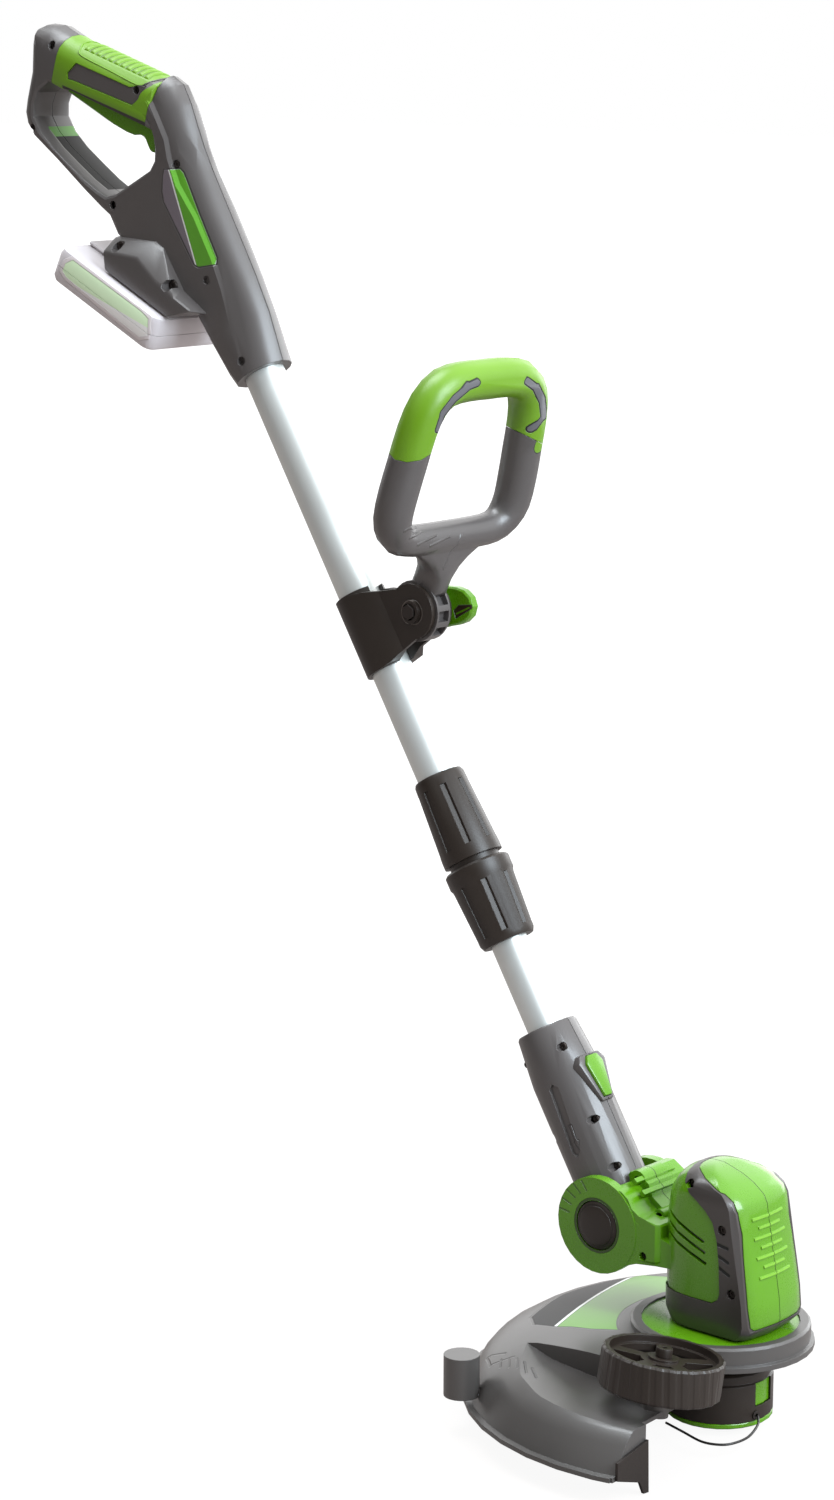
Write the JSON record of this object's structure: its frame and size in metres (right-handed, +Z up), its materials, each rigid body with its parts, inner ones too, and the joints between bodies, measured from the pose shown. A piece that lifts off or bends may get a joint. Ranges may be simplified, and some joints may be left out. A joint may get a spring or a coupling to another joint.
{
  "type": "cordless string trimmer",
  "caption": "Cordless string trimmer with a loop-shaped rear housing, slide-on battery, clamped front handle, telescoping shaft and a tilting motor head with guard and edge wheel.",
  "frame": {"origin": "middle of the rear grip, where the trimmer is held", "axes": "+X forwards from the grip to the motor head, +Y to the trimmer's left side, +Z up along the spool's axis"},
  "size_m": [0.678, 0.3209, 0.8713],
  "materials": {
    "aluminium_tube": "drawn, satin",
    "black_plastic": "satin",
    "dark_shell": "fine matt grain",
    "green_rubber": "soft matt",
    "green_shell": "semi-gloss",
    "guard_plastic": "satin",
    "line_nylon": "smooth nylon",
    "pack_cell": "shrink-wrapped steel can",
    "pack_shell": "satin",
    "steel": "plain"
  },
  "bodies": {
    "rear_housing": {"rear_housing_left": "dark_shell", "rear_housing_right": "dark_shell", "grip_overmould": "green_shell", "trigger_pin": "steel", "trigger_spring": "steel", "trigger_switch": "black_plastic", "battery_terminals": "black_plastic", "upper_tube": "aluminium_tube", "collar_sleeve": "dark_shell", "collar_collet": "black_plastic", "clamp_bracket": "black_plastic", "clamp_bolt": "steel"},
    "trigger": {"trigger": "green_shell"},
    "battery": {"battery_case_upper": "pack_shell", "battery_case_lower": "pack_shell", "battery_cell_1": "pack_cell", "battery_cell_2": "pack_cell", "battery_cell_3": "pack_cell", "battery_cell_4": "pack_cell", "battery_cell_5": "pack_cell"},
    "battery_latch": {"battery_latch": "pack_shell"},
    "clamp_knob": {"clamp_knob": "green_shell"},
    "front_handle": {"front_handle_frame": "dark_shell", "front_handle_grip": "green_rubber"},
    "collar_nut": {"collar_nut": "dark_shell"},
    "lower_tube": {"lower_tube": "aluminium_tube"},
    "lower_housing": {"lower_housing_left": "dark_shell", "lower_housing_right": "dark_shell"},
    "turn_button": {"turn_button": "green_shell"},
    "head": {"yoke_left": "green_shell", "yoke_right": "green_shell", "motor_band_left": "dark_shell", "motor_band_right": "dark_shell", "motor_cover_left": "green_shell", "motor_cover_right": "green_shell", "motor_can": "steel", "turntable_disc": "green_shell", "guard": "guard_plastic", "line_cutter": "steel", "wheel_axle": "black_plastic", "tilt_cap": "black_plastic", "tilt_pin": "steel", "tilt_spring": "steel"},
    "tilt_button": {"tilt_button": "black_plastic"},
    "edge_wheel": {"edge_wheel": "black_plastic"},
    "spool": {"motor_shaft": "steel", "spool_base": "black_plastic", "line_eyelet_1": "steel", "line_eyelet_2": "steel", "line_bobbin": "green_shell", "wound_line": "line_nylon", "spool_spring": "steel", "cutting_line": "line_nylon"},
    "spool_cap": {"spool_cap": "green_shell"}
  },
  "joints": [
    {"name": "trigger_pull", "type": "hinge", "parent": "rear_housing", "child": "trigger", "pos_m": [-0.03049, 0, -0.00533], "axis": [0, 1, 0], "range_deg": [0, 7], "stiffness_Nm_per_rad": 0.6, "springref_deg": -20.05},
    {"name": "battery_slide", "type": "slide", "parent": "rear_housing", "child": "battery", "axis": [-0.9003, 0, 0.4352], "range_m": [0, 0.07]},
    {"name": "battery_release", "type": "slide", "parent": "battery", "child": "battery_latch", "axis": [-0.4352, 0, -0.9003], "range_m": [0, 0.0032], "stiffness_N_per_m": 900, "springref_m": -0.003},
    {"name": "knob_turn", "type": "hinge", "parent": "rear_housing", "child": "clamp_knob", "pos_m": [0.28533, 0, -0.34178], "axis": [0, 1, 0], "continuous": true},
    {"name": "front_handle_tilt", "type": "hinge", "parent": "rear_housing", "child": "front_handle", "pos_m": [0.28533, 0, -0.34178], "axis": [0, 1, 0], "range_deg": [-25, 25]},
    {"name": "collar_twist", "type": "hinge", "parent": "rear_housing", "child": "collar_nut", "pos_m": [0.36328, 0, -0.55321], "axis": [-0.5225, 0, 0.8526], "range_deg": [0, 90]},
    {"name": "telescope", "type": "slide", "parent": "rear_housing", "child": "lower_tube", "axis": [0.5225, 0, -0.8526], "range_m": [-0.055, 0.13]},
    {"name": "head_turn", "type": "hinge", "parent": "lower_tube", "child": "lower_housing", "pos_m": [0.46413, 0, -0.71776], "axis": [-0.5225, 0, 0.8526], "range_deg": [-90, 0]},
    {"name": "turn_button_press", "type": "slide", "parent": "lower_housing", "child": "turn_button", "axis": [-0.8526, 0, -0.5225], "range_m": [0, 0.003], "stiffness_N_per_m": 800, "springref_m": -0.003},
    {"name": "head_tilt", "type": "hinge", "parent": "lower_housing", "child": "head", "pos_m": [0.46413, 0, -0.71776], "axis": [0, 1, 0], "range_deg": [0, 45]},
    {"name": "tilt_button_press", "type": "slide", "parent": "head", "child": "tilt_button", "axis": [0, 1, 0], "range_m": [0, 0.004], "stiffness_N_per_m": 900, "springref_m": -0.003},
    {"name": "wheel_spin", "type": "hinge", "parent": "head", "child": "edge_wheel", "pos_m": [0.56863, -0.095, -0.75806], "axis": [0.0517, 0.1494, 0.9874], "continuous": true},
    {"name": "spool_spin", "type": "hinge", "parent": "head", "child": "spool", "pos_m": [0.54112, 0, -0.77006], "axis": [0, 0, 1], "continuous": true},
    {"name": "spool_cap_pull", "type": "slide", "parent": "spool", "child": "spool_cap", "axis": [0, 0, -1], "range_m": [0, 0.03]}
  ]
}
